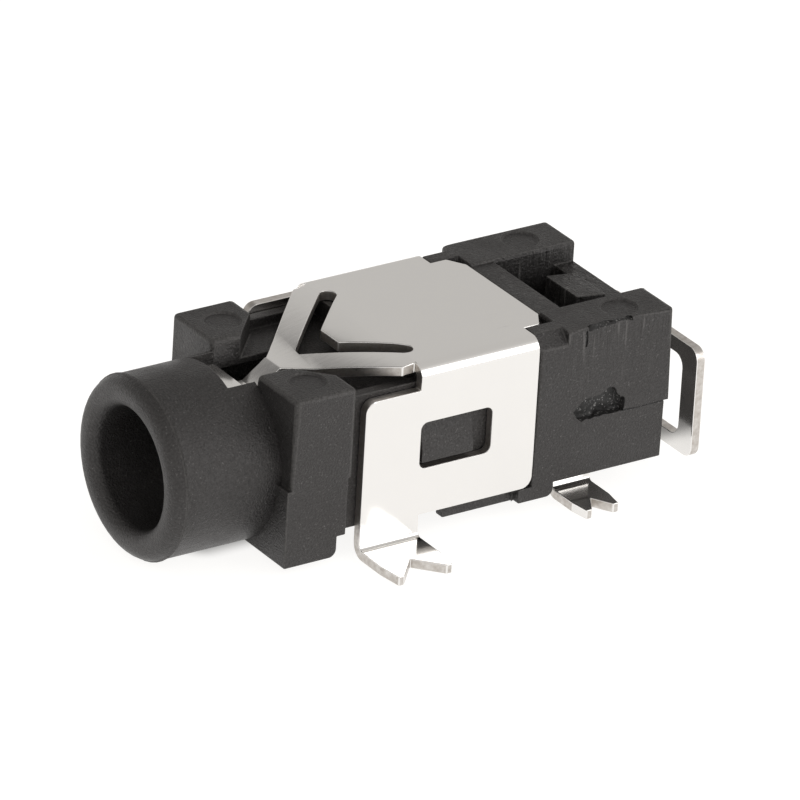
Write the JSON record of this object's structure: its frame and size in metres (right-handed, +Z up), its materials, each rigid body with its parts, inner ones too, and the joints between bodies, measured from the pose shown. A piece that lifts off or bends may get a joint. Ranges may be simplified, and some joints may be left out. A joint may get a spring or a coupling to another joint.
{
  "type": "surface-mount audio jack socket",
  "caption": "Low board-mounted socket for a small audio plug: black moulded housing with a round nose, a folded metal saddle with a V-cut spring, and forked solder feet.",
  "frame": {"origin": "centre of the part's box, on the board that the solder feet stand on", "axes": "+X along the plug, away from the mouth; +Z up from the board"},
  "size_m": [0.0182, 0.0104, 0.0056],
  "materials": {
    "moulding": "satin black moulding with a fine spark-eroded grain",
    "plated_sheet": "bright silver-coloured plating on thin spring sheet"
  },
  "bodies": {
    "root": {"housing": "moulding", "nose": "moulding", "sleeve_saddle": "plated_sheet", "ring_contact": "plated_sheet", "tip_contact": "plated_sheet"}
  },
  "joints": []
}
